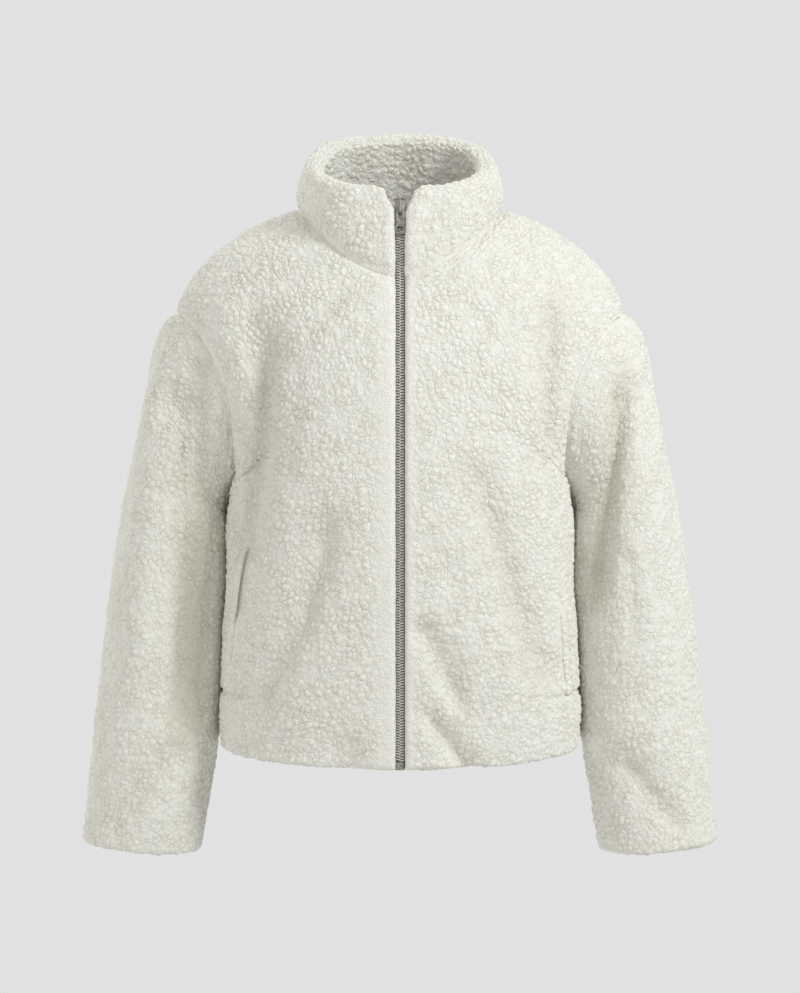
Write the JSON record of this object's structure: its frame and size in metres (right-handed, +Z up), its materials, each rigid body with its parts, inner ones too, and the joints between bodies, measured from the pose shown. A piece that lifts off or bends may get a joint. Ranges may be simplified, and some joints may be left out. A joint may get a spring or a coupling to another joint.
{
  "type": "cropped sherpa jacket",
  "caption": "Cropped boxy jacket of thick sherpa pile with a stand collar, dropped shoulders, wide sleeves, front pockets and a full-length front zip, shown filled out as worn.",
  "frame": {"origin": "between the high points of the two shoulders, on the jacket's centre plane, where the wearer's shoulders and neck hold it up", "axes": "+Z up, +Y towards the back so that the zip faces -Y, +X towards the wearer's left"},
  "size_m": [0.6138, 0.2677, 0.6905],
  "materials": {
    "sherpa": "deep curly off-white pile",
    "zip_tape": "woven tape",
    "zip_metal": "plated metal, satin"
  },
  "bodies": {
    "jacket": {"front_left": "sherpa", "front_right": "sherpa", "back": "sherpa", "sleeve_left": "sherpa", "sleeve_right": "sherpa", "collar": "sherpa", "pocket_welt_left": "sherpa", "pocket_welt_right": "sherpa", "zip_tape_left": "zip_tape", "zip_tape_right": "zip_tape", "zip_stop": "zip_metal", "zip_chain": "zip_metal", "slider": "zip_metal"},
    "pull_tab": {"pull_tab": "zip_metal"}
  },
  "joints": [
    {"name": "pull_tab_swing", "type": "hinge", "parent": "jacket", "child": "pull_tab", "pos_m": [0, -0.08559, 0.00246], "axis": [-1, 0, 0], "range_deg": [0, 135]}
  ]
}
